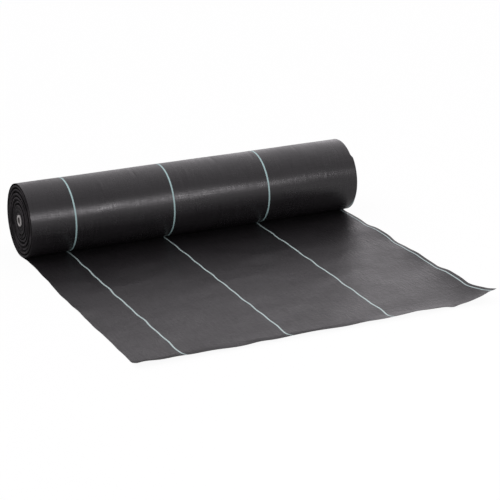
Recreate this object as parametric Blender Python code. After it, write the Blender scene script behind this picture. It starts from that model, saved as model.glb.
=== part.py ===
"""A part-used roll of woven weed control fabric, with its free end laid out flat in front of it.

Metres, +Z up. The roll's axis runs along X. The roll stands on the ground at Y = 0 and the laid
end runs towards -Y. The origin is on the ground, in the middle of the line where the roll stands.
Angles round the roll start at its lowest line and go up the back, over the top and down the front,
which is the way the fabric runs from its free end into the roll.
"""

import math

import bmesh
import bpy
import numpy as np

# Lengths are written in millimetres.
MM = 0.001

# Woven web
WEB_WIDTH = 1000 * MM
WEB_THICKNESS = 0.45 * MM
LAID_LENGTH = 860 * MM

# Roll, and the spiral slot between its loose outer turns
ROLL_RADIUS = 103 * MM
TURN_PITCH = 11 * MM
LOOSE_TURNS = 5
SLOT_WIDTH = 1.2 * MM
SLOT_MOUTH = 0.5 * MM
POINTS_PER_TURN = 56

# Cardboard core
CORE_RADIUS = 16 * MM
CORE_WALL = 6 * MM
CORE_OVERHANG = 2 * MM
CORE_POINTS = 40

# Adhesive tape that starts the winding on the core
TAPE_WIDTH = 20 * MM
TAPE_THICKNESS = 0.2 * MM
TAPE_END_MARGIN = 40 * MM
TAPE_SEGMENTS = 8

# Pale marker tapes woven along the web: three evenly spaced ones, the first measured from the
# web's left edge, and a narrower one by its right edge
MARKER_WIDTH = 4.5 * MM
MARKER_THICKNESS = 0.2 * MM
FIRST_MARKER = 129 * MM
MARKER_SPACING = 293.5 * MM
SPACED_MARKERS = 3
EDGE_MARKER_WIDTH = 2.8 * MM
EDGE_MARKER_INSET = 9 * MM

# Air left between pieces that touch in the real roll
GAP = 0.3 * MM

# The web's flat stretch under the roll, in front of and behind the line where the roll stands
UNDER_ROLL_FRONT = 20 * MM
UNDER_ROLL_BACK = 15 * MM

# Shape of the laid web: ripples across it that fade out at the right edge, flutter of its edges,
# the right edge standing higher and higher towards the free end, the curl of that end, which isn't
# cut square but is longer on the left, and its right corner turned up and out
RIPPLE_HEIGHT = 1.2 * MM
RIPPLE_LENGTH = 128 * MM
RIPPLE_DRIFT = 900 * MM
SWELL_HEIGHT = 1.5 * MM
SWELL_LENGTH = 290 * MM
SWELL_DRIFT = 410 * MM
SETTLE = 0.8 * MM
CALM_LENGTH = 110 * MM
LEFT_FLUTTER_HEIGHT = 2 * MM
RIGHT_FLUTTER_HEIGHT = 2.8 * MM
RIGHT_EDGE_LIFT = 28 * MM
RIGHT_LIFT_POWER = 1.75
FLUTTER_LENGTH = 205 * MM
FLUTTER_REACH = 45 * MM
END_SLANT = 22 * MM
END_CURL_HEIGHT = 8.5 * MM
END_CURL_REACH = 42 * MM
END_CURL_POWER = 1.4
END_WAVE_HEIGHT = 3 * MM
END_WAVE_LENGTH = 330 * MM
END_WAVE_SHIFT = 42 * MM
CORNER_LIFT = 2 * MM
CORNER_REACH_ACROSS = 80 * MM
CORNER_REACH_ALONG = 120 * MM
CORNER_FLARE = 12 * MM
COLUMN_WIDTH = 100 * MM
LAID_ROWS = 33

# Worked out from the sizes above
HALF_WIDTH = WEB_WIDTH / 2
MARKER_STAND = GAP + MARKER_THICKNESS
AXIS_HEIGHT = WEB_THICKNESS + MARKER_STAND + GAP + MARKER_STAND + ROLL_RADIUS
CORE_BORE = CORE_RADIUS - CORE_WALL
WINDING_BORE = CORE_RADIUS + GAP + TAPE_THICKNESS + GAP
STEP_UNDER_END = WEB_THICKNESS + SLOT_MOUTH
LAID_START = UNDER_ROLL_FRONT + GAP
FULL_TURN = 2 * math.pi
SPACED_CENTRES = [FIRST_MARKER + i * MARKER_SPACING - HALF_WIDTH for i in range(SPACED_MARKERS)]
MARKERS = [(centre_x, MARKER_WIDTH) for centre_x in SPACED_CENTRES]
MARKERS.append((HALF_WIDTH - EDGE_MARKER_INSET, EDGE_MARKER_WIDTH))

# Colour, roughness and metallic value of each finish
FINISHES = {
    "black_woven_plastic": ((0.032, 0.031, 0.033, 1.0), 0.42, 0.0),
    "pale_green_tape": ((0.42, 0.56, 0.53, 1.0), 0.45, 0.0),
    "grey_cardboard": ((0.34, 0.32, 0.29, 1.0), 0.85, 0.0),
    "clear_brown_tape": ((0.36, 0.24, 0.12, 1.0), 0.3, 0.0),
}


def clear_scene():
    for old in list(bpy.data.objects):
        bpy.data.objects.remove(old, do_unlink=True)


def finish(name):
    """The material of that name, made on first use."""
    found = bpy.data.materials.get(name)
    if found:
        return found
    colour, roughness, metallic = FINISHES[name]
    made = bpy.data.materials.new(name)
    made.use_nodes = True
    shader = made.node_tree.nodes["Principled BSDF"]
    shader.inputs["Base Color"].default_value = colour
    shader.inputs["Roughness"].default_value = roughness
    shader.inputs["Metallic"].default_value = metallic
    return made


def place(data, name, material, parent=None):
    """A new object in the scene, carrying one material."""
    made = bpy.data.objects.new(name, data)
    bpy.context.scene.collection.objects.link(made)
    made.data.materials.append(finish(material))
    made.parent = parent
    return made


def bar_along_x(name, outlines, length, centre_x, material, parent):
    """A prism along X. Each outline is a closed list of (y, z) points, and inner ones are holes."""
    curve = bpy.data.curves.new(name, "CURVE")
    curve.dimensions = "2D"
    curve.fill_mode = "BOTH"
    curve.extrude = length / 2
    for outline in outlines:
        spline = curve.splines.new("POLY")
        spline.points.add(len(outline) - 1)
        for point, (y, z) in zip(spline.points, outline):
            point.co = (y, z, 0, 1)
        spline.use_cyclic_u = True
    made = place(curve, name, material, parent)
    made.rotation_euler = (math.pi / 2, 0, math.pi / 2)
    made.location.x = centre_x
    return made


def on_roll(radius, angle):
    """The (y, z) point at that radius and angle, seen from the roll's axis."""
    return radius * math.sin(angle), -radius * math.cos(angle)


def circle(radius, points):
    return [on_roll(radius, FULL_TURN * i / points) for i in range(points)]


def outer_radius(angle):
    """Outside of the outermost turn, which starts over the ground and ends on top of itself."""
    return ROLL_RADIUS - STEP_UNDER_END * angle / FULL_TURN


def slot_floor(angle):
    """Under the slot, which winds inwards from where the outside of the first turn ends."""
    return ROLL_RADIUS - STEP_UNDER_END - TURN_PITCH * (angle - FULL_TURN) / FULL_TURN


def slot_roof(angle):
    """Above the slot: the inside of the turn at this angle."""
    opening = SLOT_MOUTH + (SLOT_WIDTH - SLOT_MOUTH) * min(1.0, angle / FULL_TURN)
    return slot_floor(angle + FULL_TURN) + opening


def winding_outline():
    """The spiral edge of the wound web: round its outside, in along the slot and back out."""
    step = FULL_TURN / POINTS_PER_TURN
    winding_steps = POINTS_PER_TURN * LOOSE_TURNS
    outline = [on_roll(outer_radius(i * step), i * step) for i in range(POINTS_PER_TURN)]
    for i in range(POINTS_PER_TURN, POINTS_PER_TURN + winding_steps + 1):
        outline.append(on_roll(slot_floor(i * step), i * step))
    for i in range(winding_steps, -1, -1):
        outline.append(on_roll(slot_roof(i * step), i * step))
    return outline


def print_least_slot_gap():
    """Measures the spiral slot between its two sides, on the points of its outline."""
    angles = np.arange(POINTS_PER_TURN * LOOSE_TURNS + 1) * FULL_TURN / POINTS_PER_TURN
    roof = np.array([on_roll(slot_roof(angle), angle) for angle in angles])
    floor = np.array([on_roll(slot_floor(angle + FULL_TURN), angle) for angle in angles])
    least = np.linalg.norm(roof[:, None] - floor[None, :], axis=2).min()
    print(f"Least gap between turns of the winding: {least / MM:.2f} mm")


def band_outline(inside, thickness, sweep, segments):
    """A curved band round the axis. inside gives the radius of its inner side at an angle."""
    angles = [sweep * i / segments for i in range(segments + 1)]
    inner = [on_roll(inside(angle), angle) for angle in angles]
    outer = [on_roll(inside(angle) + thickness, angle) for angle in angles]
    return inner + outer[::-1]


def roll_pivot():
    """An empty on the roll's axis. What turns with the roll hangs on it."""
    pivot = bpy.data.objects.new("roll_pivot", None)
    bpy.context.scene.collection.objects.link(pivot)
    pivot.location.z = AXIS_HEIGHT
    return pivot


def core_tube(pivot):
    outlines = [circle(CORE_RADIUS, CORE_POINTS), circle(CORE_BORE, CORE_POINTS)]
    length = WEB_WIDTH + 2 * CORE_OVERHANG
    return bar_along_x("core_tube", outlines, length, 0, "grey_cardboard", pivot)


def starting_tape(pivot):
    """The strip of tape that holds the first turn on the core."""

    tape_bore = CORE_RADIUS + GAP

    def inside(_angle):
        return tape_bore

    outline = band_outline(inside, TAPE_THICKNESS, TAPE_WIDTH / tape_bore, TAPE_SEGMENTS)
    length = WEB_WIDTH - 2 * TAPE_END_MARGIN
    return bar_along_x("starting_tape", [outline], length, 0, "clear_brown_tape", pivot)


def wound_web(pivot):
    """The wound fabric: a tight middle, and loose outer turns that a spiral slot parts."""
    outlines = [winding_outline(), circle(WINDING_BORE, CORE_POINTS)]
    return bar_along_x("wound_web", outlines, WEB_WIDTH, 0, "black_woven_plastic", pivot)


def marker_bars(stretch, outline, parent):
    """One bar for each marker tape, numbered from the left."""
    for number, (centre_x, width) in enumerate(MARKERS, start=1):
        bar_along_x(f"{stretch}_{number}", [outline], width, centre_x, "pale_green_tape", parent)


def wound_markers(pivot):
    """The marker tapes where they go once round the outside of the roll."""

    def inside(angle):
        return outer_radius(angle) + GAP

    segments = POINTS_PER_TURN - 1
    outline = band_outline(inside, MARKER_THICKNESS, FULL_TURN * segments / POINTS_PER_TURN, segments)
    marker_bars("wound_marker", outline, pivot)


def flat_outline(bottom, top):
    front, back = -UNDER_ROLL_FRONT, UNDER_ROLL_BACK
    return [(front, bottom), (back, bottom), (back, top), (front, top)]


def web_under_roll():
    """The flat stretch of web that the roll stands on, and that travels with it."""
    outline = flat_outline(0, WEB_THICKNESS)
    return bar_along_x("web_under_roll", [outline], WEB_WIDTH, 0, "black_woven_plastic", None)


def markers_under_roll():
    bottom = WEB_THICKNESS + GAP
    marker_bars("marker_under_roll", flat_outline(bottom, bottom + MARKER_THICKNESS), None)


def ease(share):
    """A smooth rise from 0 to 1 as share goes from 0 to 1."""
    share = np.clip(share, 0, 1)
    return share * share * (3 - 2 * share)


def wave(distance, length):
    return np.sin(2 * np.pi * distance / length)


def end_place(x):
    """How far the free end lies in front of the roll's line."""
    return LAID_LENGTH - END_SLANT * x / WEB_WIDTH


def corner_share(x, u):
    """How far a point lies into the right front corner, from 0 to 1."""
    across = ease(1 - (HALF_WIDTH - x) / CORNER_REACH_ACROSS)
    along = ease(1 - (end_place(x) - u) / CORNER_REACH_ALONG)
    return across * along


def ground_clearance(x, u):
    """Height of the laid web's underside at x across it and u in front of the roll's line."""
    ripple = RIPPLE_HEIGHT * wave(u + x * RIPPLE_LENGTH / RIPPLE_DRIFT, RIPPLE_LENGTH)
    swell = SWELL_HEIGHT * wave(u + x * SWELL_LENGTH / SWELL_DRIFT, SWELL_LENGTH)
    near_left = np.exp(-(x + HALF_WIDTH) / FLUTTER_REACH)
    near_right = np.exp(-(HALF_WIDTH - x) / FLUTTER_REACH)
    left = LEFT_FLUTTER_HEIGHT * near_left * wave(u, FLUTTER_LENGTH)
    right_lift = RIGHT_EDGE_LIFT * (u / LAID_LENGTH) ** RIGHT_LIFT_POWER
    right = near_right * (right_lift + RIGHT_FLUTTER_HEIGHT * wave(u, FLUTTER_LENGTH))
    calm = ease((u - LAID_START) / CALM_LENGTH)
    end = np.clip(1 - (end_place(x) - u) / END_CURL_REACH, 0, 1) ** END_CURL_POWER
    end_lift = end * (END_CURL_HEIGHT - END_WAVE_HEIGHT * wave(x - END_WAVE_SHIFT, END_WAVE_LENGTH))
    rippled = (ripple + swell) * (1 - near_right)
    lift = calm * (rippled + left + right - SETTLE) + end_lift
    return np.maximum(lift, 0) + CORNER_LIFT * corner_share(x, u)


def laid_piece(name, columns, stand_off, thickness, material):
    """A sheet of even thickness that follows the laid web's underside at a set distance from it."""
    mesh = bpy.data.meshes.new(name)
    grid = bmesh.new()
    bmesh.ops.create_grid(grid, x_segments=len(columns) - 1, y_segments=LAID_ROWS, size=0.5)
    for corner in grid.verts:
        column = columns[round((corner.co.x + 0.5) * (len(columns) - 1))]
        u = LAID_START + (0.5 - corner.co.y) * (end_place(column) - LAID_START)
        x = column + CORNER_FLARE * corner_share(column, u)
        corner.co = (x, -u, ground_clearance(column, u))
    grid.to_mesh(mesh)
    grid.free()
    mesh.shade_smooth()
    made = place(mesh, name, material)
    if stand_off:
        raised = made.modifiers.new("stand_off", "DISPLACE")
        raised.mid_level = 0
        raised.strength = stand_off
    wall = made.modifiers.new("thickness", "SOLIDIFY")
    wall.thickness = thickness
    wall.offset = 1
    return made


def marker_sides(centre_x, width):
    return [centre_x - width / 2, centre_x + width / 2]


def laid_columns():
    """Places across the web: its edges, both sides of each marker, and even steps between, with
    two more by the right edge, where the web turns up most."""
    fixed = [-HALF_WIDTH, HALF_WIDTH - CORNER_REACH_ACROSS, HALF_WIDTH - FLUTTER_REACH, HALF_WIDTH]
    for centre_x, width in MARKERS:
        fixed += marker_sides(centre_x, width)
    fixed.sort()
    columns = [fixed[0]]
    for left, right in zip(fixed, fixed[1:]):
        steps = max(1, math.ceil((right - left) / COLUMN_WIDTH))
        columns += [left + (right - left) * i / steps for i in range(1, steps + 1)]
    return columns


def laid_web():
    laid_piece("laid_web", laid_columns(), 0, WEB_THICKNESS, "black_woven_plastic")


def laid_markers():
    """The marker tapes where they run along the laid web."""
    stand_off = WEB_THICKNESS + GAP
    for number, (centre_x, width) in enumerate(MARKERS, start=1):
        sides = marker_sides(centre_x, width)
        laid_piece(f"laid_marker_{number}", sides, stand_off, MARKER_THICKNESS, "pale_green_tape")


def main():
    clear_scene()
    pivot = roll_pivot()
    core_tube(pivot)
    starting_tape(pivot)
    wound_web(pivot)
    wound_markers(pivot)
    print_least_slot_gap()
    web_under_roll()
    markers_under_roll()
    laid_web()
    laid_markers()


main()
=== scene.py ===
import math

import bmesh
import bpy
import numpy as np
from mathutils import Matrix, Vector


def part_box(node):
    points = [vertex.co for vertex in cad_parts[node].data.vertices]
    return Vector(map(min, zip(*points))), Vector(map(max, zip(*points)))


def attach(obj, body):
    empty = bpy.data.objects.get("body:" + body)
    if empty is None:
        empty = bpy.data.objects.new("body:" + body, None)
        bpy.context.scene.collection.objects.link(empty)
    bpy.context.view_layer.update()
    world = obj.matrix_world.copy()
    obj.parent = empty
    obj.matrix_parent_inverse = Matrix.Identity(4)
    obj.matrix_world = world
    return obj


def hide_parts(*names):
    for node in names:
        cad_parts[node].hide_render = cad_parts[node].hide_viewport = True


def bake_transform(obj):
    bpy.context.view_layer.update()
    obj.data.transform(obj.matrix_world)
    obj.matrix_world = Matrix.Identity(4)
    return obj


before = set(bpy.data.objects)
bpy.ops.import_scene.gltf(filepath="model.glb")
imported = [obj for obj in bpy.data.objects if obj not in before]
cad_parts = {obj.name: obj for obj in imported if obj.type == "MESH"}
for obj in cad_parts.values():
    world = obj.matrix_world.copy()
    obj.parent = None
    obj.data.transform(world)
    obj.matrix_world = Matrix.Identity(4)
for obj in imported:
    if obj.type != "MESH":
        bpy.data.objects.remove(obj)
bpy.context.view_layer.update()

# A part-used roll of woven weed control fabric with its free end laid out in front of it.
# Lengths are metres. X runs along the roll, the free end lies towards -Y, and the roll
# stands on the ground at Y = 0.

millimetre = 0.001
degree = math.pi / 180
fullTurn = 2 * math.pi


def middleOf(node, axis):
    low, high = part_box(node)
    return (low[axis] + high[axis]) / 2


def spanOf(node, axis):
    low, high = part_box(node)
    return high[axis] - low[axis]


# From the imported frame. The winding's bore is a little wider than the core.
roll = {
    "halfWidth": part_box("wound_web")[1].x,
    "axisHeight": middleOf("core_tube", 2),
    "coreHalfLength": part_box("core_tube")[1].x,
    "coreRadius": spanOf("core_tube", 2) / 2,
    "boreRadius": spanOf("core_tube", 2) / 2 + 0.8 * millimetre,
    "coreWall": 6 * millimetre,
}
# each marker tape's number, middle and width
markers = []
for number in (1, 2, 3, 4):
    node = f"wound_marker_{number}"
    markers.append((number, middleOf(node, 0), spanOf(node, 0)))
print("frame read")


# Meshes

def ease(share):
    # smooth rise from 0 to 1: 3 s^2 - 2 s^3
    share = np.clip(share, 0, 1)
    return share * share * (3 - 2 * share)


def wave(distance, length):
    return np.sin(fullTurn * distance / length)


def gridFaces(rows, columns, closedRows=False, closedColumns=False, first=0):
    # quads between neighbouring rows and columns of a grid of numbered points
    numbers = first + np.arange(rows * columns).reshape(rows, columns)
    if closedRows:
        numbers = np.vstack([numbers, numbers[:1]])
    if closedColumns:
        numbers = np.hstack([numbers, numbers[:, :1]])
    corners = (numbers[:-1, :-1], numbers[1:, :-1], numbers[1:, 1:], numbers[:-1, 1:])
    return np.stack(corners, axis=-1).reshape(-1, 4)


def addObject(name, data):
    added = bpy.data.objects.new(name, data)
    bpy.context.scene.collection.objects.link(added)
    return added


def addPiece(name, points, faces, materials, faceMaterials=None, plane=None):
    # Edges bent by more than 35 degrees stay sharp. plane is each point's place on the flat
    # fabric, in metres, and becomes the UV map.
    mesh = bpy.data.meshes.new(name)
    mesh.from_pydata(points.reshape(-1, 3).tolist(), [], faces.tolist())
    for material in materials:
        mesh.materials.append(material)
    if faceMaterials is not None:
        mesh.polygons.foreach_set("material_index", faceMaterials.astype(np.int32))
    if plane is not None:
        corners = np.zeros(len(mesh.loops), np.int32)
        mesh.loops.foreach_get("vertex_index", corners)
        uvMap = mesh.uv_layers.new(name="fabric")
        uvMap.data.foreach_set("uv", plane.reshape(-1, 2)[corners].astype(np.float32).ravel())
    shell = bmesh.new()
    shell.from_mesh(mesh)
    bmesh.ops.remove_doubles(shell, verts=shell.verts, dist=0.001 * millimetre)
    bmesh.ops.recalc_face_normals(shell, faces=shell.faces)
    shell.to_mesh(mesh)
    shell.free()
    mesh.shade_smooth()
    mesh.set_sharp_from_angle(angle=35 * degree)
    return addObject(name, mesh)


def addSlab(name, surface, across, along, low, high, materials, ring=False):
    # A thin closed band: the loop of points at the lifts low and high over the places in
    # across is carried along the places in along. surface(across, along, lift) gives points.
    loopAcross = np.concatenate([across, across[::-1]])
    loopLift = np.concatenate([np.full(len(across), low), high[::-1]])
    placeAlong, placeAcross = np.meshgrid(along, loopAcross, indexing="ij")
    lift = np.broadcast_to(loopLift, placeAlong.shape)
    points = surface(placeAcross, placeAlong, lift)
    plane = np.stack([placeAcross, placeAlong], axis=-1)
    rows, columns = placeAlong.shape
    faces = gridFaces(rows, columns, closedRows=ring, closedColumns=True)
    if not ring:
        # both ends are closed by quads between the lower and the upper line
        lower = np.arange(len(across))
        upper = columns - 1 - lower
        cap = np.stack([lower[:-1], lower[1:], upper[1:], upper[:-1]], axis=-1)
        faces = np.vstack([faces, cap, cap + (rows - 1) * columns])
    return addPiece(name, points, faces, materials, plane=plane)


# Shader nodes

def sockets(group, direction, kinds):
    for name, kind in kinds.items():
        group.interface.new_socket(name, in_out=direction, socket_type=kind)


def addNode(tree, kind, settings=None, inputs=None):
    node = tree.nodes.new(kind)
    for name, value in (settings or {}).items():
        setattr(node, name, value)
    for name, value in (inputs or {}).items():
        if isinstance(value, bpy.types.NodeSocket):
            tree.links.new(value, node.inputs[name])
        else:
            node.inputs[name].default_value = value
    return node


def sums(tree, operation, *values):
    inputs = dict(enumerate(values))
    return addNode(tree, "ShaderNodeMath", {"operation": operation}, inputs).outputs[0]


def stretchedNoise(tree, place, cellX, cellY, detail=2.0, roughness=0.55):
    # noise whose cells measure cellX by cellY by the larger of both, in metres
    inputs = {0: place, 1: (1 / cellX, 1 / cellY, 1 / max(cellX, cellY))}
    scaled = addNode(tree, "ShaderNodeVectorMath", {"operation": "MULTIPLY"}, inputs)
    inputs = {"Vector": scaled.outputs[0], "Scale": 1.0, "Detail": detail, "Roughness": roughness}
    return addNode(tree, "ShaderNodeTexNoise", None, inputs).outputs["Fac"]


def weighted(tree, first, second, shares):
    # first times its share plus second times its share
    part = sums(tree, "MULTIPLY", second, shares[1])
    return sums(tree, "MULTIPLY_ADD", first, shares[0], part)


def mapRange(tree, value, fromLow, fromHigh, toLow, toHigh):
    inputs = {0: value, 1: fromLow, 2: fromHigh, 3: toLow, 4: toHigh}
    return addNode(tree, "ShaderNodeMapRange", {"clamp": True}, inputs).outputs[0]


def mixColours(tree, share, first, second):
    # sockets 6 and 7 and output 2 are colours
    inputs = {0: share, 6: first, 7: second}
    return addNode(tree, "ShaderNodeMix", {"data_type": "RGBA"}, inputs).outputs[2]


weaveLook = {"edgePower": 6.0, "dip": 0.5, "seeds": (0.25, 40.75)}


def makeTapeWeave():
    # Plain weave of flat tapes. Warp tapes run along Y, weft tapes along X, and one lies
    # on top in each square of the checkerboard. A tape is flat with rounded edges, and it
    # dips where it goes under its neighbour.
    group = bpy.data.node_groups.new("tapeWeave", "ShaderNodeTree")
    sockets(group, "INPUT", {"Vector": "NodeSocketVector", "Tape Width": "NodeSocketFloat"})
    outputs = ("Height", "Warp On Top", "Tape Tone", "Edge")
    sockets(group, "OUTPUT", {name: "NodeSocketFloat" for name in outputs})
    given = group.nodes.new("NodeGroupInput")
    result = group.nodes.new("NodeGroupOutput")
    place = addNode(group, "ShaderNodeSeparateXYZ", None, {0: given.outputs["Vector"]})
    tapesX = sums(group, "DIVIDE", place.outputs["X"], given.outputs["Tape Width"])
    tapesY = sums(group, "DIVIDE", place.outputs["Y"], given.outputs["Tape Width"])
    column = sums(group, "FLOOR", tapesX)
    row = sums(group, "FLOOR", tapesY)
    warpOnTop = sums(group, "FLOORED_MODULO", sums(group, "ADD", column, row), 2.0)
    dip = weaveLook["dip"]
    edges, crowns = [], []
    for tapes in (tapesX, tapesY):
        share = sums(group, "FRACT", tapes)
        fromMiddle = sums(group, "ABSOLUTE", sums(group, "MULTIPLY_ADD", share, 2.0, -1.0))
        edges.append(sums(group, "POWER", fromMiddle, weaveLook["edgePower"]))
        crowns.append(sums(group, "SINE", sums(group, "MULTIPLY", share, math.pi)))
    heights = []
    for edge, crown in zip(edges, reversed(crowns)):
        flat = sums(group, "SUBTRACT", 1.0, edge)
        bent = sums(group, "MULTIPLY_ADD", crown, dip, 1 - dip)
        heights.append(sums(group, "MULTIPLY", flat, bent))
    gain = sums(group, "SUBTRACT", heights[0], heights[1])
    height = sums(group, "MULTIPLY_ADD", warpOnTop, gain, heights[1])
    tones = []
    for number, shift in zip((column, row), weaveLook["seeds"]):
        seed = sums(group, "ADD", number, shift)
        noise = addNode(group, "ShaderNodeTexWhiteNoise", {"noise_dimensions": "1D"}, {"W": seed})
        tones.append(noise.outputs["Value"])
    toneGain = sums(group, "SUBTRACT", tones[0], tones[1])
    tone = sums(group, "MULTIPLY_ADD", warpOnTop, toneGain, tones[1])
    edge = sums(group, "MAXIMUM", edges[0], edges[1])
    for name, value in zip(outputs, (height, warpOnTop, tone, edge)):
        group.links.new(value, result.inputs[name])
    return group


# Streaks and crinkles of the tapes. A cell is a pattern's width and length in metres, and a
# span is the part of a noise that is used.
streakLook = {
    "warpCell": (0.0050, 0.060),
    "weftCell": (0.045, 0.0035),
    "acrossCrinkleCell": (0.013, 0.0065),
    "alongCrinkleCell": (0.0045, 0.024),
    "patchCell": (0.13, 0.10),
    "patchSpan": (0.44, 0.60),
    "patchShare": (0.15, 1.3),
    "streakSpan": (0.36, 0.64),
}


def makeTapeStreaks():
    # Drawn tapes are brighter and duller in long streaks along both directions of the
    # weave. Short crinkles run both ways, and those along the warp come in patches.
    look = streakLook
    group = bpy.data.node_groups.new("tapeStreaks", "ShaderNodeTree")
    sockets(group, "INPUT", {"Vector": "NodeSocketVector"})
    outputs = ("Streak", "Crinkle", "Patch")
    sockets(group, "OUTPUT", {name: "NodeSocketFloat" for name in outputs})
    given = group.nodes.new("NodeGroupInput").outputs["Vector"]
    result = group.nodes.new("NodeGroupOutput")
    warpStreak = stretchedNoise(group, given, *look["warpCell"])
    weftStreak = stretchedNoise(group, given, *look["weftCell"])
    streak = sums(group, "MULTIPLY", sums(group, "ADD", warpStreak, weftStreak), 0.5)
    acrossCrinkle = stretchedNoise(group, given, *look["acrossCrinkleCell"])
    alongCrinkle = stretchedNoise(group, given, *look["alongCrinkleCell"])
    patch = stretchedNoise(group, given, *look["patchCell"], detail=1.0)
    patchShare = mapRange(group, patch, *look["patchSpan"], *look["patchShare"])
    crinkle = sums(group, "MULTIPLY_ADD", alongCrinkle, patchShare, acrossCrinkle)
    for name, value in zip(outputs, (streak, crinkle, patch)):
        group.links.new(value, result.inputs[name])
    return group


tapeWeave = makeTapeWeave()
tapeStreaks = makeTapeStreaks()


def startMaterial(name, coordinate):
    # coordinate is "Object" or the UV map's "UV"
    material = bpy.data.materials.new(name)
    material.use_nodes = True
    tree = material.node_tree
    place = addNode(tree, "ShaderNodeTexCoord").outputs[coordinate]
    return material, tree, tree.nodes["Principled BSDF"], place


def useGroup(tree, group, inputs):
    return addNode(tree, "ShaderNodeGroup", {"node_tree": group}, inputs).outputs


def bump(tree, height, distance, strength=1.0, normal=None):
    inputs = {"Height": height, "Distance": distance, "Strength": strength}
    if normal is not None:
        inputs["Normal"] = normal
    return addNode(tree, "ShaderNodeBump", None, inputs).outputs["Normal"]


def feedShader(tree, shader, colour, roughness, normal):
    tree.links.new(colour, shader.inputs["Base Color"])
    tree.links.new(roughness, shader.inputs["Roughness"])
    tree.links.new(normal, shader.inputs["Normal"])


fabricLook = {
    "tapeWidth": 2.4 * millimetre,
    "darkTape": (0.0085, 0.0075, 0.0085, 1),
    "lightTape": (0.022, 0.0200, 0.022, 1),
    "seam": (0.003, 0.003, 0.003, 1),
    "seamShare": 0.6,
    "tapeTone": (0.45, -0.2),
    "sheenShares": (0.6, 0.4),
    "sheenSpan": (0.38, 0.62),
    "gloss": 0.65,
    "laid": {"roughness": (0.34, 0.46), "crinkle": 0.65 * millimetre, "weave": 0.07 * millimetre},
    "wound": {"roughness": (0.22, 0.40), "crinkle": 0.12 * millimetre, "weave": 0.04 * millimetre},
}


def makeFabric(name, coordinate, finish):
    # Black woven tape: streaked sheen, tapes of unlike tone, dark seams between them. The
    # roughness falls as streak and patch rise.
    look = fabricLook
    material, tree, shader, place = startMaterial(name, coordinate)
    weave = useGroup(tree, tapeWeave, {"Vector": place, "Tape Width": look["tapeWidth"]})
    streaks = useGroup(tree, tapeStreaks, {"Vector": place})
    toneShare = sums(tree, "MULTIPLY_ADD", weave["Tape Tone"], *look["tapeTone"])
    streak = mapRange(tree, streaks["Streak"], *streakLook["streakSpan"], 0, 1)
    share = sums(tree, "ADD", streak, toneShare)
    tape = mixColours(tree, share, look["darkTape"], look["lightTape"])
    seamShare = sums(tree, "MULTIPLY", weave["Edge"], look["seamShare"])
    colour = mixColours(tree, seamShare, tape, look["seam"])
    low, high = finish["roughness"]
    uneven = weighted(tree, streaks["Streak"], streaks["Patch"], look["sheenShares"])
    roughness = mapRange(tree, uneven, *look["sheenSpan"], high, low)
    crinkled = bump(tree, streaks["Crinkle"], finish["crinkle"])
    woven = bump(tree, weave["Height"], finish["weave"], normal=crinkled)
    feedShader(tree, shader, colour, roughness, woven)
    shader.inputs["Specular IOR Level"].default_value = look["gloss"]
    return material


# "laid" and "wound" each hold the tape's tone in a dull streak and in a bright one. They are one
# tape in two tones: the laid stretch paler and whiter, painted sheen, and the wound stretch
# darker, painted shade on the roll. A relief is a height and a strength.
markerLook = {
    "laid": ((0.65, 0.80, 0.78, 1), (0.55, 0.69, 0.675, 1)),
    "wound": ((0.57, 0.81, 0.80, 1), (0.48, 0.70, 0.69, 1)),
    "crossing": (0.06, 0.08, 0.08, 1),
    "crossingShares": (0.1, 0.35),
    "roughness": (0.42, 0.55),
    "relief": (0.1 * millimetre, 0.6),
}


def makeMarkerTape(name, coordinate, tones):
    # pale tape woven in: the black weft shows as a fine dark mark at each crossing
    look = markerLook
    material, tree, shader, place = startMaterial(name, coordinate)
    weave = useGroup(tree, tapeWeave, {"Vector": place, "Tape Width": fabricLook["tapeWidth"]})
    streaks = useGroup(tree, tapeStreaks, {"Vector": place})
    streak = mapRange(tree, streaks["Streak"], *streakLook["streakSpan"], 0, 1)
    tape = mixColours(tree, streak, *tones)
    weftOnTop = sums(tree, "SUBTRACT", 1.0, weave["Warp On Top"])
    crossing = weighted(tree, weftOnTop, weave["Edge"], look["crossingShares"])
    colour = mixColours(tree, crossing, tape, look["crossing"])
    roughness = mapRange(tree, streak, 0, 1, *look["roughness"])
    feedShader(tree, shader, colour, roughness, bump(tree, weave["Height"], *look["relief"]))
    return material


def distanceFromAxis(tree, place):
    # place is in object coordinates, and the distance is the length of its Y and Z parts
    inputs = {"Vector": place, "Location": (0, 0, -roll["axisHeight"])}
    centred = addNode(tree, "ShaderNodeMapping", None, inputs)
    inputs = {0: centred.outputs[0], 1: (0, 1, 1)}
    flattened = addNode(tree, "ShaderNodeVectorMath", {"operation": "MULTIPLY"}, inputs)
    inputs = {0: flattened.outputs[0]}
    return addNode(tree, "ShaderNodeVectorMath", {"operation": "LENGTH"}, inputs).outputs["Value"]


edgeLook = {
    "bundle": (4.2 * millimetre, 6.5 * millimetre),
    "darkRim": (6.5 * millimetre, 4 * millimetre),
    "rimTone": 0.1,
    "patchCell": (0.045, 0.045),
    "patchSpan": (0.40, 0.60),
    "patchShare": (0.45, 1.7),
    "layerCell": (0.25, 0.0007),
    "frayCell": (0.006, 0.0011),
    "shadeShares": (0.5, 0.7),
    "shadeSpan": (0.42, 0.82),
    "dark": (0.004, 0.0035, 0.004, 1),
    # pale is the painted highlight on the standing bundles, dark their own tone and the painted
    # shade in the slots
    "pale": (0.058, 0.053, 0.056, 1),
    "roughness": (0.7, 0.9),
    "relief": (0.5 * millimetre, 0.8),
    "gloss": 0.15,
}


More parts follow.
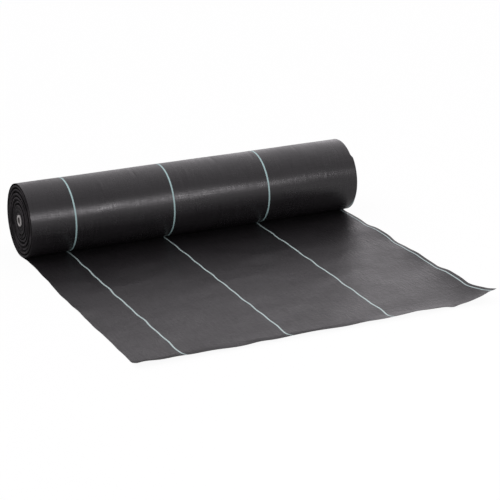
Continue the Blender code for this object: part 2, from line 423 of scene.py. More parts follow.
def makeLayerEdges(name):
    # Cut edges of many layers: fine dull ridges that follow the spiral. The bundles that stand out
    # are painted paler, a painted highlight where light catches them, and the slots between them
    # stay dark, painted shade. The paleness varies with fine noise along the layers and in
    # patches, and is dark on the outermost layers. U runs along the spiral, V across a turn.
    look = edgeLook
    material, tree, shader, place = startMaterial(name, "UV")
    across = addNode(tree, "ShaderNodeSeparateXYZ", None, {0: place}).outputs["Y"]
    # the outer part of each turn is painted paler, a painted highlight, and the slot behind it
    # darker, painted shade
    bundle = mapRange(tree, across, *look["bundle"], 1, 0)
    onEnd = addNode(tree, "ShaderNodeTexCoord").outputs["Object"]
    radius = distanceFromAxis(tree, onEnd)
    begin, end = [roll["axisHeight"] - width for width in look["darkRim"]]
    inside = mapRange(tree, radius, begin, end, 1, look["rimTone"])
    patches = stretchedNoise(tree, onEnd, *look["patchCell"], detail=1.0)
    shown = mapRange(tree, patches, *look["patchSpan"], *look["patchShare"])
    paintedLitBundles = sums(tree, "MULTIPLY", sums(tree, "MULTIPLY", bundle, inside), shown)
    layers = stretchedNoise(tree, place, *look["layerCell"], detail=3.0, roughness=0.7)
    fray = stretchedNoise(tree, place, *look["frayCell"])
    shade = weighted(tree, fray, layers, look["shadeShares"])
    tone = sums(tree, "MULTIPLY", mapRange(tree, shade, *look["shadeSpan"], 0, 1), paintedLitBundles)
    colour = mixColours(tree, tone, look["dark"], look["pale"])
    roughness = mapRange(tree, tone, 0, 1, *look["roughness"])
    feedShader(tree, shader, colour, roughness, bump(tree, shade, *look["relief"]))
    shader.inputs["Specular IOR Level"].default_value = look["gloss"]
    return material


boardLook = {
    "ply": 0.9 * millimetre,
    "fibreCell": (0.004, 0.0009),
    "dirtCell": (0.012, 0.012),
    "shadeShares": (0.25, 0.75),
    "dark": (0.36, 0.355, 0.34, 1),
    "pale": (0.62, 0.61, 0.59, 1),
    "dirt": (0.16, 0.15, 0.14, 1),
    "dirtSpan": (0.5, 0.75),
    "dirtShare": 0.5,
    "paintedBoreShade": (0.10, 0.095, 0.09, 1),
    "paintedBoreShadeEdge": (0.1 * millimetre, 0.6 * millimetre),
    "paintedBoreShadeShare": 0.75,
    "fibreSpan": (0.3, 0.7),
    "roughness": (0.75, 0.92),
    "relief": (0.15 * millimetre, 0.7),
}


def makeBoard(name):
    # Grey tube board: plies as fine rings round the axis, fibres and a little dirt, and painted
    # shade in the bore: the board is darker on its inner wall and next to it
    look = boardLook
    material, tree, shader, place = startMaterial(name, "Object")
    radius = distanceFromAxis(tree, place)
    plies = sums(tree, "PINGPONG", sums(tree, "DIVIDE", radius, look["ply"]), 1.0)
    fibres = stretchedNoise(tree, place, *look["fibreCell"], detail=4.0)
    shade = weighted(tree, plies, fibres, look["shadeShares"])
    board = mixColours(tree, shade, look["dark"], look["pale"])
    dirt = stretchedNoise(tree, place, *look["dirtCell"])
    dirty = mapRange(tree, dirt, *look["dirtSpan"], 0, look["dirtShare"])
    soiled = mixColours(tree, dirty, board, look["dirt"])
    # painted shade in the bore: darker on the inner wall and at the bore's edge
    begin, end = [roll["coreRadius"] - roll["coreWall"] + edge for edge in look["paintedBoreShadeEdge"]]
    paintedBoreShade = mapRange(tree, radius, begin, end, look["paintedBoreShadeShare"], 0)
    colour = mixColours(tree, paintedBoreShade, soiled, look["paintedBoreShade"])
    roughness = mapRange(tree, fibres, *look["fibreSpan"], *look["roughness"])
    feedShader(tree, shader, colour, roughness, bump(tree, shade, *look["relief"]))
    return material


filmLook = {
    "markCell": (0.04, 0.001),
    "bubbleCell": (0.002, 0.002),
    "toneShares": (0.6, 0.4),
    "toneSpan": (0.3, 0.7),
    "dark": (0.28, 0.18, 0.08, 1),
    "pale": (0.46, 0.33, 0.18, 1),
    "roughness": (0.18, 0.4),
    "relief": (0.05 * millimetre, 0.6),
}


def makeClearTape(name):
    # brown adhesive tape with lengthwise stretch marks and small bubbles
    look = filmLook
    material, tree, shader, place = startMaterial(name, "Object")
    marks = stretchedNoise(tree, place, *look["markCell"])
    bubbles = stretchedNoise(tree, place, *look["bubbleCell"], detail=1.0)
    tone = weighted(tree, marks, bubbles, look["toneShares"])
    colour = mixColours(tree, tone, look["dark"], look["pale"])
    roughness = mapRange(tree, tone, *look["toneSpan"], *look["roughness"])
    feedShader(tree, shader, colour, roughness, bump(tree, tone, *look["relief"]))
    return material


laidFabricMaterial = makeFabric("laid_fabric", "Object", fabricLook["laid"])
woundFabricMaterial = makeFabric("wound_fabric", "UV", fabricLook["wound"])
# one marker tape in two copies: the laid one painted paler as sheen, the wound one painted darker
# as shade
laidMarkerSheenMaterial = makeMarkerTape("laid_marker_tape", "Object", markerLook["laid"])
woundMarkerShadedMaterial = makeMarkerTape("wound_marker_tape", "UV", markerLook["wound"])
layerEdgeMaterial = makeLayerEdges("layer_edges")
boardMaterial = makeBoard("tube_board")
clearTapeMaterial = makeClearTape("starting_tape_film")
print("materials made")


# Laid fabric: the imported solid's form with softer ripples, fine creases, small bumps along
# the free end and an outline that isn't quite straight. A bump is its place across the
# fabric, its width and its height.
laid = {
    "thickness": 0.45 * millimetre,
    "length": -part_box("laid_web")[0].y - 0.011,
    "endSlant": 0.022,
    "tip": (0.012, 0.014),
    "start": -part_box("laid_web")[1].y,
    "tail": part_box("web_under_roll")[1].y,
    "ripple": (0.6 * millimetre, 0.128, 0.900),
    "swell": (1.0 * millimetre, 0.290, 0.410),
    "settle": 0.4 * millimetre,
    "softness": 1.2 * millimetre,
    "calmLength": 0.110,
    "leftFlutter": 2 * millimetre,
    "rightFlutter": 2.8 * millimetre,
    "flutterLength": 0.205,
    "flutterReach": 0.045,
    "liftReach": (0.060, 0.038),
    "rightLift": 0.028,
    "rightLiftPower": 1.75,
    "earlyRise": (4 * millimetre, 0.07, 0.26, 0.45),
    "endCurl": (8.5 * millimetre, 0.042, 1.4),
    "endWave": (3 * millimetre, 0.330, 0.042),
    "endBumps": (
        (-0.485, 0.035, 0.0065), (-0.350, 0.040, -0.0028), (-0.170, 0.035, 0.0038),
        (-0.060, 0.040, -0.0002), (0.135, 0.040, 0.0033), (0.285, 0.025, 0.0014),
        (0.395, 0.018, -0.0045), (0.435, 0.020, -0.0010),
    ),
    "cornerLift": 2.5 * millimetre,
    "cornerFlare": 0.018,
    "cornerReach": (0.080, 0.120),
    "creases": 26,
    "creaseHeight": 0.02 * millimetre,
    "creaseSpread": 0.45,
    "creaseLengths": (0.022, 0.065),
    "drift": 0.8 * millimetre,
    "drifts": 4,
    "driftLengths": (0.075, 0.160),
    "driftSlant": 0.35,
    "driftCalm": 0.6,
    "gather": (0.008, 0.050, 0.350),
    "leftBow": (4.5 * millimetre, 0.060, 0.150, 0.350),
    "spareRipple": (0.2 * millimetre, 0.009, 0.01),
    "blendFrom": 0.060,
    "blendTo": 0.022,
    "rollGap": 0.25 * millimetre,
    "rows": (14, 44, 176),
    "columns": 201,
}
rollRadius = roll["axisHeight"] - laid["thickness"] - laid["rollGap"]

creaseDraws = np.random.default_rng(12)
creaseTurns = creaseDraws.normal(0, laid["creaseSpread"], laid["creases"])
# every third crease runs along the fabric
creaseTurns[::3] += math.pi / 2
creaseLengths = creaseDraws.uniform(*laid["creaseLengths"], laid["creases"])
creasePhases = creaseDraws.uniform(0, fullTurn, laid["creases"])
driftLengths = creaseDraws.uniform(*laid["driftLengths"], laid["drifts"])
driftPhases = creaseDraws.uniform(0, fullTurn, laid["drifts"])


def fineCreases(x, along):
    # a sum of small sine waves of random direction, most of them running across the fabric,
    # the longer the higher
    total = np.zeros_like(x)
    for turn, length, phase in zip(creaseTurns, creaseLengths, creasePhases):
        distance = along * math.cos(turn) + x * math.sin(turn)
        height = length / laid["creaseLengths"][1]
        total = total + height * np.sin(fullTurn * distance / length + phase)
    return laid["creaseHeight"] * total


def endPlace(x):
    # the free end isn't cut square: its left side lies further from the roll, and the tip
    # of its right corner runs out a little
    tipLength, tipReach = laid["tip"]
    tip = tipLength * ease(1 - (roll["halfWidth"] - x) / tipReach)
    return laid["length"] - laid["endSlant"] * x / (2 * roll["halfWidth"]) + tip


def cornerShare(x, along):
    # 1 at the right front corner, 0 beyond cornerReach from either of its edges
    across, lengthwise = laid["cornerReach"]
    nearEdge = ease(1 - (roll["halfWidth"] - x) / across)
    nearEnd = ease(1 - (endPlace(x) - along) / lengthwise)
    return nearEdge * nearEnd


def endHeight(x):
    # how high the free end curls up: a slow wave plus a few bell-shaped bumps
    curl = laid["endCurl"][0]
    waveHeight, waveLength, shift = laid["endWave"]
    height = curl - waveHeight * wave(x - shift, waveLength)
    for place, width, bumpHeight in laid["endBumps"]:
        height = height + bumpHeight * np.exp(-(((x - place) / width) ** 2))
    return height


def groundClearance(x, along):
    # Height of the underside over the ground. Ripples and swells run across the fabric at
    # a slant and fade at the right edge. Both edges flutter. The right one lifts with a power
    # of the distance from the roll, in a bend that tightens towards the free end, and rises a
    # little more next to the roll. The free end and its right corner curl up. Where all this
    # falls below the ground, the fabric settles on it in a soft bend.
    waves = np.zeros_like(x + along)
    for height, length, drift in (laid["ripple"], laid["swell"]):
        waves = waves + height * wave(along + x * length / drift, length)
    nearLeft = np.exp(-(x + roll["halfWidth"]) / laid["flutterReach"])
    reached = np.clip(along / laid["length"], 0, 1)
    broad, narrow = laid["liftReach"]
    nearRight = np.exp(-(roll["halfWidth"] - x) / (broad + (narrow - broad) * ease(reached)))
    flutter = wave(along, laid["flutterLength"])
    rightLift = laid["rightLift"] * reached ** laid["rightLiftPower"]
    riseHeight, riseEnd, fallStart, fallEnd = laid["earlyRise"]
    fallen = ease((along - fallStart) / (fallEnd - fallStart))
    earlyRise = riseHeight * ease(along / riseEnd) * (1 - fallen)
    edges = laid["leftFlutter"] * nearLeft * flutter
    edges = edges + nearRight * (rightLift + earlyRise + laid["rightFlutter"] * flutter)
    rippled = waves * (1 - nearRight)
    calm = ease((along - laid["start"]) / laid["calmLength"])
    reach, power = laid["endCurl"][1:]
    atEnd = np.clip(1 - (endPlace(x) - along) / reach, 0, 1) ** power
    lift = calm * (rippled + edges + fineCreases(x, along) - laid["settle"]) + atEnd * endHeight(x)
    softness = laid["softness"] * calm
    lift = (lift + np.sqrt(lift**2 + softness**2)) / 2 + laid["cornerLift"] * cornerShare(x, along)
    # a little spare fabric in front of the roll opens out into ripples as the roll travels
    height, length, slant = laid["spareRipple"]
    middle = (laid["blendFrom"] + laid["blendTo"]) / 2
    half = (laid["blendFrom"] - laid["blendTo"]) / 2
    nearMiddle = ease(1 - np.abs(along - middle) / half)
    spare = height * nearMiddle * (1 + wave(along + slant * x, length))
    # behind the line on which the roll stands, the fabric rises with the roll's underside
    behind = np.clip(-along, 0, None)
    rise = rollRadius - np.sqrt(rollRadius**2 - behind**2)
    return lift + spare + rise


def sidewaysDrift(x, along):
    # The fabric lies slightly out of true: each warp wanders by a millimetre or two in a sum
    # of sine waves, less so at the left edge, the fabric is drawn together where it leaves the
    # roll, and its left edge bows outwards.
    total = np.zeros_like(x + along)
    for length, phase in zip(driftLengths, driftPhases):
        total = total + np.sin(fullTurn * (along / length + x / laid["driftSlant"]) + phase)
    edgeDistance = x + roll["halfWidth"]
    calm = ease((along - laid["start"]) / laid["calmLength"])
    nearLeft = np.exp(-edgeDistance / laid["flutterReach"])
    wander = laid["drift"] * calm * total * (1 - laid["driftCalm"] * nearLeft)
    share, near, far = laid["gather"]
    gathered = share * x * ease(along / near) * (1 - ease((along - near) / (far - near)))
    bow, reach, bowStart, bowEnd = laid["leftBow"]
    bowed = bow * np.exp(-edgeDistance / reach) * ease((along - bowStart) / (bowEnd - bowStart))
    return wander - gathered - bowed


def laidUnderside(x, along):
    # the underside's point for a place across and along the flat fabric
    shown = x + laid["cornerFlare"] * cornerShare(x, along) + sidewaysDrift(x, along)
    return np.stack([shown, -along, groundClearance(x, along)], axis=-1)


def laidSurface(x, along, lift):
    # The underside, moved by lift along its normal: the cross product of both slopes. Rows
    # beyond the stretching part spread out to meet the slanted free end.
    share = np.clip((along - laid["blendFrom"]) / (laid["length"] - laid["blendFrom"]), 0, None)
    along = along + share * (endPlace(x) - laid["length"])
    step = 0.5 * millimetre
    slopeX = laidUnderside(x + step, along) - laidUnderside(x - step, along)
    slopeAlong = laidUnderside(x, along - step) - laidUnderside(x, along + step)
    normal = np.cross(slopeX, slopeAlong)
    normal /= np.linalg.norm(normal, axis=-1, keepdims=True)
    return laidUnderside(x, along) + normal * np.asarray(lift)[..., None]


# rows lie close together where the fabric stretches out as the roll travels
tailRows, stretchingRows, outerRows = laid["rows"]
laidRows = np.concatenate([
    np.linspace(-laid["tail"], laid["blendTo"], tailRows, endpoint=False),
    np.linspace(laid["blendTo"], laid["blendFrom"], stretchingRows, endpoint=False),
    np.linspace(laid["blendFrom"], laid["length"], outerRows),
])
laidColumns = np.linspace(-roll["halfWidth"], roll["halfWidth"], laid["columns"])


def layAcrossRoll(piece):
    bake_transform(piece)


topLift = np.full(len(laidColumns), laid["thickness"])
laidFabric = addSlab(
    "laid_fabric", laidSurface, laidColumns, laidRows, 0.0, topLift, [laidFabricMaterial]
)
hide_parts("laid_web", "web_under_roll")
layAcrossRoll(laidFabric)
print("laid fabric made,", len(laidFabric.data.polygons), "faces")

# Marker tapes, woven in, so that they stand hardly proud of the fabric
marker = {
    "gap": 0.02 * millimetre,
    "thickness": 0.08 * millimetre,
    "edge": 0.03 * millimetre,
    "columns": 6,
}


def addMarker(name, surface, middle, width, along, base, material, ring=False):
    # the top is slightly crowned: it drops by edge times the fourth power of the share
    across = np.linspace(middle - width / 2, middle + width / 2, marker["columns"])
    share = np.linspace(-1, 1, marker["columns"])
    low = base + marker["gap"]
    high = low + marker["thickness"] - marker["edge"] * share**4
    return addSlab(name, surface, across, along, low, high, [material], ring)


for number, middle, width in markers:
    name, base = f"laid_marker_tape_{number}", laid["thickness"]
    ribbon = addMarker(name, laidSurface, middle, width, laidRows, base, laidMarkerSheenMaterial)
    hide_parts(f"laid_marker_{number}", f"marker_under_roll_{number}")
    layAcrossRoll(ribbon)
print("laid marker tapes made")

# Wound fabric. An order is a number of waves per turn.
winding = {
    "angles": 120,
    "columns": 360,
    "pitch": 11 * millimetre,
    "layer": 0.33 * millimetre,
    "swellFrom": 0.75,
    "looseTurns": 5,
    "slacks": 12,
    "slackOrders": (1, 6),
    "slackLengths": (0.14, 0.50),
    "slackHeight": 0.16 * millimetre,
    "creases": 46,
    "creaseHeight": 0.35 * millimetre,
    "creaseGroups": (-0.30, -0.18, -0.02, 0.08, 0.16, 0.21, 0.36),
    "creaseSpread": 0.022,
    "creaseAngles": (40 * degree, 330 * degree),
    "creaseWidths": (0.0035, 0.0060),
    "creaseReaches": (7 * degree, 22 * degree),
    "creaseSigns": (-1.0, 0.8),
    "slot": (0.50, 0.97),
    "slotEdge": 0.03,
    "slotDepth": 9 * millimetre,
    "slotAtSides": 0.30,
    "waver": 0.16,
    "waverOrders": (2.3, 5.1),
    "waverShare": 0.7,
    "skin": 1.4 * millimetre,
    "opening": (-0.87, 0.25),
    "tightening": (-0.8, 1.2),
    "tightDip": 0.6,
    "tightSlot": 0.88,
    "shoulder": 1.2 * millimetre,
    "stagger": 1.3 * millimetre,
    "staggerOrders": (0.37, 0.81),
    "staggerShares": (0.6, 0.4),
    "leftPhases": (0.7, 2.1),
    "rightPhases": (2.9, 0.4),
    "ridge": 0.25 * millimetre,
    "ridgesPerTurn": 4.5,
    "ridgeSway": (2.0, 0.43),
    "calmAngle": 25 * degree,
    "rimBend": 4 * millimetre,
    "rimShift": 12 * millimetre,
    "rimShiftReach": (0.070, 0.020),
    "rimFree": (30 * degree, 75 * degree),
    "rimDent": 5 * millimetre,
    "rimDentAngles": (135 * degree, 172 * degree, 220 * degree, 226 * degree),
    "rimColumns": 30,
    "rimStep": 1.5 * millimetre,
    "leftRimReach": 0.015,
    "edgeStretch": 0.377,
    "turnColumns": (9, 5),
}
windingDraws = np.random.default_rng(5)
slackOrders = windingDraws.integers(*winding["slackOrders"], winding["slacks"])
slackLengths = windingDraws.uniform(*winding["slackLengths"], winding["slacks"])
slackPhases = windingDraws.uniform(0, fullTurn, (winding["slacks"], 2))
creaseGroups = windingDraws.choice(winding["creaseGroups"], winding["creases"])
creasePlaces = creaseGroups + windingDraws.normal(0, winding["creaseSpread"], winding["creases"])
creaseAngles = windingDraws.uniform(*winding["creaseAngles"], winding["creases"])
creaseWidths = windingDraws.uniform(*winding["creaseWidths"], winding["creases"])
creaseReaches = windingDraws.uniform(*winding["creaseReaches"], winding["creases"])
creaseSigns = windingDraws.choice(winding["creaseSigns"], winding["creases"])


def outerRadius(x, angle):
    # The outside of the winding. It shrinks by one layer over a turn and swells again at the
    # turn's end. On it are soft slackness, a sum of products of sine waves, and short
    # bell-shaped creases that run round the roll. Both fade where the roll touches the ground.
    turn = np.mod(angle, fullTurn) / fullTurn
    fall = turn * (1 - ease((turn - winding["swellFrom"]) / (1 - winding["swellFrom"])))
    slack = np.zeros_like(x + angle)
    for order, length, (first, second) in zip(slackOrders, slackLengths, slackPhases):
        slack = slack + np.sin(order * angle + first) * np.sin(fullTurn * x / length + second)
    creased = np.zeros_like(slack)
    for place, around, width, reach, sign in zip(
        creasePlaces, creaseAngles, creaseWidths, creaseReaches, creaseSigns
    ):
        across = (x - place) / width
        along = (np.mod(angle, fullTurn) - around) / reach
        creased = creased + sign * np.exp(-(across**2) - along**2)
    contact = np.minimum(turn, 1 - turn) * fullTurn
    free = ease(contact / winding["calmAngle"])
    relief = winding["slackHeight"] * slack / 2 + winding["creaseHeight"] * creased
    return rollRadius - winding["layer"] * fall + free * relief


def turnedShare(angle):
    # how far the right edge is turned over the rim: not at all where it lies on the ground
    turn = np.mod(angle, fullTurn)
    contact = np.minimum(turn, fullTurn - turn)
    start, end = winding["rimFree"]
    return ease((contact - start) / (end - start))


def rimPlace(angle):
    # where the right rim lies along the roll: it sags inwards over the upper front
    turn = np.mod(angle, fullTurn)
    riseFrom, riseTo, fallFrom, fallTo = winding["rimDentAngles"]
    risen = ease((turn - riseFrom) / (riseTo - riseFrom))
    fallen = ease((turn - fallFrom) / (fallTo - fallFrom))
    return roll["halfWidth"] - winding["rimDent"] * risen * (1 - fallen)


def edgeBend(x, angle):
    # The outer turn lies further right than the laid fabric, so that its edge bends over
    # the rim: straight, then an arc of radius rimBend, then straight down the end face.
    # Gives the place along the roll, the drop below the surface and the bend's angle.
    half, radius = roll["halfWidth"], winding["rimBend"]
    share = turnedShare(angle)
    begin, end = winding["rimShiftReach"]
    shifted = x + winding["rimShift"] * share * ease((x - half + begin) / (begin - end))
    bendFrom = rimPlace(angle) - radius
    beyond = np.maximum(shifted - bendFrom, 0)
    most = math.pi / 2 * share
    bend = np.minimum(beyond / radius, most)
    rest = np.maximum(beyond - radius * most, 0)
    place = np.minimum(shifted, bendFrom) + radius * np.sin(bend) + rest * np.cos(most)
    drop = radius * (1 - np.cos(bend)) + rest * np.sin(most)
    return place, drop, bend


def staggerOf(turns, side):
    # how far a bundle of layers stands out at the roll's end: a slow and a quick sine
    first, second = winding["leftPhases"] if side < 0 else winding["rightPhases"]
    slowOrder, quickOrder = winding["staggerOrders"]
    slowShare, quickShare = winding["staggerShares"]
    slow = np.sin(fullTurn * slowOrder * turns + first)
    quick = np.sin(fullTurn * quickOrder * turns + second)
    return winding["stagger"] * (slowShare * slow + quickShare * quick)


def endRelief(angle, radius, side):
    # The end face as a height over (angle, radius). The winding's own coordinate counts
    # turns inwards from the rim: whole turns plus the share across the turn. Each turn is a
    # rounded bundle of layers of uneven thickness. Between the loose outer turns is a slot,
    # deep above and below the axis and shallow at its sides. It stays under the outer skin.
    depth = (rollRadius - radius) / winding["pitch"]
    turn = np.mod(angle, fullTurn) / fullTurn
    whole = np.floor(depth - turn + 1e-7)
    turns = turn + whole
    share = depth - turns
    slotFrom, slotTo = winding["slot"]
    edge = winding["slotEdge"]
    slowOrder, quickOrder = winding["waverOrders"]
    uneven = np.sin(fullTurn * slowOrder * turns + side)
    uneven = uneven + winding["waverShare"] * np.sin(fullTurn * quickOrder * turns)
    wavered = share + winding["waver"] * uneven * share * (1 - share) * 4
    slot = ease((wavered - slotFrom) / edge) * (1 - ease((wavered - slotTo) / edge))
    slot = slot * (winding["slotAtSides"] + (1 - winding["slotAtSides"]) * np.cos(angle) ** 2)
    skin = ease((rollRadius - radius) / winding["skin"])
    begin, over = winding["opening"]
    opened = ease((turns - begin) / over)
    begin, over = winding["tightening"]
    tight = ease((turns - winding["looseTurns"] - begin) / over)
    crown = 1 - np.abs(2 * np.clip(share / slotFrom, 0, 1) - 1) ** 3
    sway, swayOrder = winding["ridgeSway"]
    swayed = sway * np.sin(fullTurn * swayOrder * turns)
    ridges = np.sin(fullTurn * winding["ridgesPerTurn"] * share + swayed) * crown
    toNext = ease((share - slotFrom) / (slotTo - slotFrom))
    stand = staggerOf(turns, side) * (1 - toNext) + staggerOf(turns + 1, side) * toNext
    dip = winding["shoulder"] * (1 - crown) * opened * (1 - winding["tightDip"] * tight)
    cut = winding["slotDepth"] * slot * opened * (1 - winding["tightSlot"] * tight)
    return stand + winding["ridge"] * ridges - skin * (dip + cut)


def onRoll(x, angle, radius):
    # angle 0 is the lowest line; it grows up the back, over the top and down the front
    height = roll["axisHeight"] - radius * np.cos(angle)
    return np.stack([x, radius * np.sin(angle), height], axis=-1)


def rollSurface(x, angle, lift):
    # the outside of the roll, moved outwards by lift along the bend's own normal
    place, drop, bend = edgeBend(x, angle)
    radius = outerRadius(x, angle) - drop + lift * np.cos(bend)
    return onRoll(place + lift * np.sin(bend), angle, radius)


def leftRim(angle):
    # each rim gives its place along the roll and its radius
    radius = outerRadius(np.full_like(angle, -roll["halfWidth"]), angle)
    return -roll["halfWidth"] - endRelief(angle, radius, -1), radius


def rightRim(angle):
    edge = np.full_like(angle, roll["halfWidth"])
    place, drop, bend = edgeBend(edge, angle)
    return place, outerRadius(edge, angle) - drop


def makeWinding():
    half = roll["halfWidth"]
    steps = winding["angles"]
    grids, planes, kinds = [], [], []
    # the outside, with more columns where the right edge bends over
    begin = winding["rimShiftReach"][1] + winding["rimBend"]
    columns = np.concatenate([
        np.linspace(-half, half - begin, winding["columns"], endpoint=False),
        np.linspace(half - begin, half, winding["rimColumns"]),
    ])
    angle, x = np.meshgrid(np.arange(steps + 1) * fullTurn / steps, columns, indexing="ij")
    rimShift = leftRim(angle)[0] + half
    nearLeft = np.clip(1 - (x + half) / winding["leftRimReach"], 0, 1)
    points = rollSurface(x, angle, 0.0)
    points[..., 0] += rimShift * nearLeft
    grids.append(points)
    planes.append(np.stack([x, rollRadius * angle], axis=-1))
    kinds.append(0)
    # both ends: rows follow the spiral from rim to bore, columns cross one turn
    edge = winding["slotEdge"]
    slotFrom, slotTo = winding["slot"]
    bundleColumns, slotColumns = winding["turnColumns"]
    across = np.concatenate([
        np.linspace(0, slotFrom, bundleColumns),
        (slotFrom + edge / 2, slotFrom + edge),
        np.linspace(slotFrom + edge, slotTo, slotColumns)[1:],
        (slotTo + edge / 2, 1),
    ])
    inwards = (rollRadius - roll["boreRadius"]) / winding["pitch"]
    count = np.arange(-steps, math.ceil(inwards * steps) + 1)
    number, share = np.meshgrid(count, across, indexing="ij")
    angle = np.mod(number, steps) * fullTurn / steps
    nominal = rollRadius - winding["pitch"] * (number / steps + share)
    for side, rim in ((-1, leftRim), (1, rightRim)):
        rimX, rimRadius = rim(angle)
        radius = np.clip(nominal, roll["boreRadius"], rimRadius)
        inside = ease((rimRadius - radius) / winding["rimStep"])
        x = side * (half + endRelief(angle, radius, side))
        grids.append(onRoll(rimX + (x - rimX) * inside, angle, radius))
        alongSpiral = number * winding["edgeStretch"] / steps
        planes.append(np.stack([alongSpiral, share * winding["pitch"]], axis=-1))
        kinds.append(1)
    # the wall of the bore, between both ends' inner rims
    angle = np.arange(steps + 1) * fullTurn / steps
    radius = np.full(steps + 1, roll["boreRadius"])
    ends = [side * (half + endRelief(angle, radius, side)) for side in (-1, 1)]
    grids.append(np.stack([onRoll(x, angle, radius) for x in ends], axis=1))
    planes.append(np.zeros(grids[-1].shape[:2] + (2,)))
    kinds.append(1)
    faces, faceKinds, first = [], [], 0
    for grid, kind in zip(grids, kinds):
        rows, columns = grid.shape[:2]
        made = gridFaces(rows, columns, first=first)
        faces.append(made)
        faceKinds.append(np.full(len(made), kind))
        first += rows * columns
    points = np.vstack([grid.reshape(-1, 3) for grid in grids])
    plane = np.vstack([flat.reshape(-1, 2) for flat in planes])
    return points, np.vstack(faces), np.concatenate(faceKinds), plane


points, faces, faceKinds, plane = makeWinding()
woundFabric = addPiece(
    "wound_fabric", points, faces, [woundFabricMaterial, layerEdgeMaterial], faceKinds, plane
)
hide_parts("wound_web")
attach(woundFabric, "roll")
print("wound fabric made,", len(woundFabric.data.polygons), "faces")

ringAngles = np.arange(2 * winding["angles"]) * fullTurn / (2 * winding["angles"])
for number, middle, width in markers:
    name = f"wound_marker_tape_{number}"
    ribbon = addMarker(
        name, rollSurface, middle, width, ringAngles, 0.0, woundMarkerShadedMaterial, ring=True
    )
    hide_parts(f"wound_marker_{number}")
    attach(ribbon, "roll")
print("wound marker tapes made")

# Core tube: a turned wall with rounded rims and slightly stepped plies at both ends
core = {
    "angles": 96,
    "rimRound": 0.7 * millimetre,
    "rimSteps": 5,
    "plies": 7,
    "plyStep": 0.12 * millimetre,
}


def coreProfile():
    # one end's outline from the bore to the outside as (distance in from the end, radius)
    inner = roll["coreRadius"] - roll["coreWall"]
    rounding = core["rimRound"]
    turn = np.linspace(0, math.pi / 2, core["rimSteps"])
    away, towards = rounding * (1 - np.cos(turn)), rounding * (1 - np.sin(turn))
    rise = np.stack([towards, inner + away], axis=-1)
    radii = np.linspace(inner + rounding, roll["coreRadius"] - rounding, 2 * core["plies"])[1:-1]
    steps = core["plyStep"] * (np.arange(len(radii)) % 2)
    face = np.stack([steps, radii], axis=-1)
    fall = np.stack([away, roll["coreRadius"] - towards], axis=-1)
    return np.vstack([rise, face, fall])


def makeCore():
    profile = coreProfile()
    left = np.stack([-roll["coreHalfLength"] + profile[:, 0], profile[:, 1]], axis=-1)
    right = np.stack([roll["coreHalfLength"] - profile[:, 0], profile[:, 1]], axis=-1)[::-1]
    outline = np.vstack([left, right])
    turned = np.arange(core["angles"]) * fullTurn / core["angles"]
    angle, x = np.meshgrid(turned, outline[:, 0], indexing="ij")
    radius = np.broadcast_to(outline[:, 1], angle.shape)
    points = onRoll(x, angle, radius)
    faces = gridFaces(*angle.shape, closedRows=True, closedColumns=True)
    return addPiece("core_board_tube", points, faces, [boardMaterial])


coreTube = makeCore()
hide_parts("core_tube")
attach(coreTube, "roll")
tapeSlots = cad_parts["starting_tape"].data.materials
tapeSlots.clear()
tapeSlots.append(clearTapeMaterial)
print("core tube made")

# Floor, light and camera
studio = {
    "floorSize": 30.0,
    "floorDrop": 0.4 * millimetre,
    "floorColour": (0.50, 0.50, 0.50, 1),
    "floorRoughness": 0.9,
    "floorWhite": 0.85,
    "floorGlow": 1.1,
    "behind": 0.87,
    "inFront": 0.40,
    "sweep": (-0.6, 0.5),
    "onTheLeft": 0.8,
    "leftReach": 0.26,
    "panelMiddle": 0.50,
    "panelHalfWidth": 0.28,
    "panelGain": (1.85, 0.5),
    "glossyFloor": 0.25,
    "lightTint": (1.0, 0.96, 1.0, 1),
    "lampAzimuth": 15,
    "lampElevation": 21.5,
    "lampDistance": 3.6,
    "lampSize": (1.2, 0.48),
    "lampPower": 21,
    "cameraPlace": (-2.334, -5.471, 2.106),
    "cameraDown": 0.3491,
    "cameraTurn": -0.4342,
    "cameraLens": 158.06,
}


def makeFloor():
    # nearly white to the camera, and partly so in reflections
    half, low = studio["floorSize"] / 2, -studio["floorDrop"]
    corners = [(-half, -half, low), (half, -half, low), (half, half, low), (-half, half, low)]
    material = bpy.data.materials.new("studio_floor")
    material.use_nodes = True
    tree = material.node_tree
    shader = tree.nodes["Principled BSDF"]
    shader.inputs["Base Color"].default_value = studio["floorColour"]
    shader.inputs["Roughness"].default_value = studio["floorRoughness"]
    glow = addNode(tree, "ShaderNodeEmission", None, {"Strength": studio["floorGlow"]})
    path = addNode(tree, "ShaderNodeLightPath")
    glossy = sums(tree, "MULTIPLY", path.outputs["Is Glossy Ray"], studio["glossyFloor"])
    seen = sums(tree, "MAXIMUM", path.outputs["Is Camera Ray"], glossy)
    seen = sums(tree, "MAXIMUM", seen, path.outputs["Is Transmission Ray"])
    share = sums(tree, "MULTIPLY", seen, studio["floorWhite"])
    inputs = {0: share, 1: shader.outputs[0], 2: glow.outputs[0]}
    mixed = addNode(tree, "ShaderNodeMixShader", None, inputs)
    tree.links.new(mixed.outputs[0], tree.nodes["Material Output"].inputs["Surface"])
    mesh = bpy.data.meshes.new("floor")
    mesh.from_pydata(corners, [], [(0, 1, 2, 3)])
    mesh.materials.append(material)
    floor = addObject("floor", mesh)


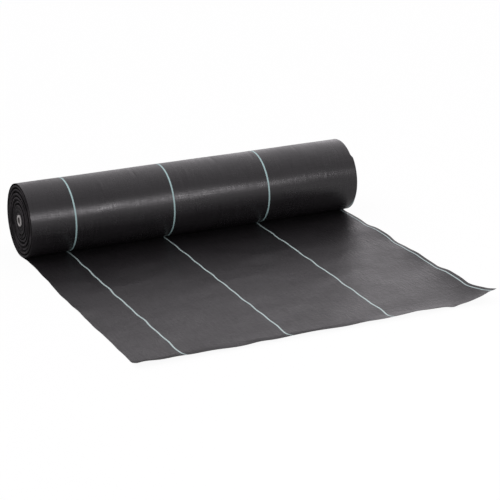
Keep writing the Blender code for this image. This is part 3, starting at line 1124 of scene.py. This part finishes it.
def makeWorld():
    # White to the camera. For the object, a bright sweep behind it, with a brighter panel
    # behind it on the right and some more light from the left, and a dim room in front.
    world = bpy.data.worlds.new("studio")
    world.use_nodes = True
    tree = world.node_tree
    direction = addNode(tree, "ShaderNodeTexCoord").outputs["Generated"]
    direction = addNode(tree, "ShaderNodeSeparateXYZ", None, {0: direction}).outputs
    dim, bright = studio["inFront"], studio["behind"]
    backwards = mapRange(tree, direction["Y"], *studio["sweep"], dim, bright)
    leftwards = mapRange(tree, direction["X"], 0, studio["leftReach"], studio["onTheLeft"], 0)
    fromPanel = sums(tree, "SUBTRACT", direction["X"], studio["panelMiddle"])
    offPanel = sums(tree, "ABSOLUTE", fromPanel)
    panel = mapRange(tree, offPanel, 0, studio["panelHalfWidth"], *studio["panelGain"])
    room = sums(tree, "MULTIPLY", backwards, sums(tree, "ADD", leftwards, panel))
    seen = addNode(tree, "ShaderNodeLightPath").outputs["Is Camera Ray"]
    background = tree.nodes["Background"]
    colour = mixColours(tree, seen, studio["lightTint"], (1, 1, 1, 1))
    tree.links.new(colour, background.inputs["Color"])
    tree.links.new(sums(tree, "MAXIMUM", room, seen), background.inputs["Strength"])
    bpy.context.scene.world = world


def makeLamp():
    azimuth, elevation = studio["lampAzimuth"] * degree, studio["lampElevation"] * degree
    level = math.cos(elevation)
    across, forwards = math.sin(azimuth) * level, -math.cos(azimuth) * level
    direction = np.array([across, forwards, math.sin(elevation)])
    data = bpy.data.lights.new("soft_key", "AREA")
    data.shape = "RECTANGLE"
    data.size, data.size_y = studio["lampSize"]
    data.energy = studio["lampPower"]
    data.color = studio["lightTint"][:3]
    lamp = addObject("soft_key", data)
    lamp.location = direction * studio["lampDistance"] + (0, 0, roll["axisHeight"])
    lamp.rotation_euler = (math.pi / 2 - elevation, 0, azimuth)


def makeCamera():
    data = bpy.data.cameras.new("camera")
    data.sensor_width = 36
    data.lens = studio["cameraLens"]
    camera = addObject("camera", data)
    camera.location = studio["cameraPlace"]
    camera.rotation_euler = (math.pi / 2 - studio["cameraDown"], 0, studio["cameraTurn"])
    bpy.context.scene.camera = camera


makeFloor()
makeWorld()
makeLamp()
makeCamera()
bpy.context.scene.view_settings.view_transform = "Standard"
print("studio made")
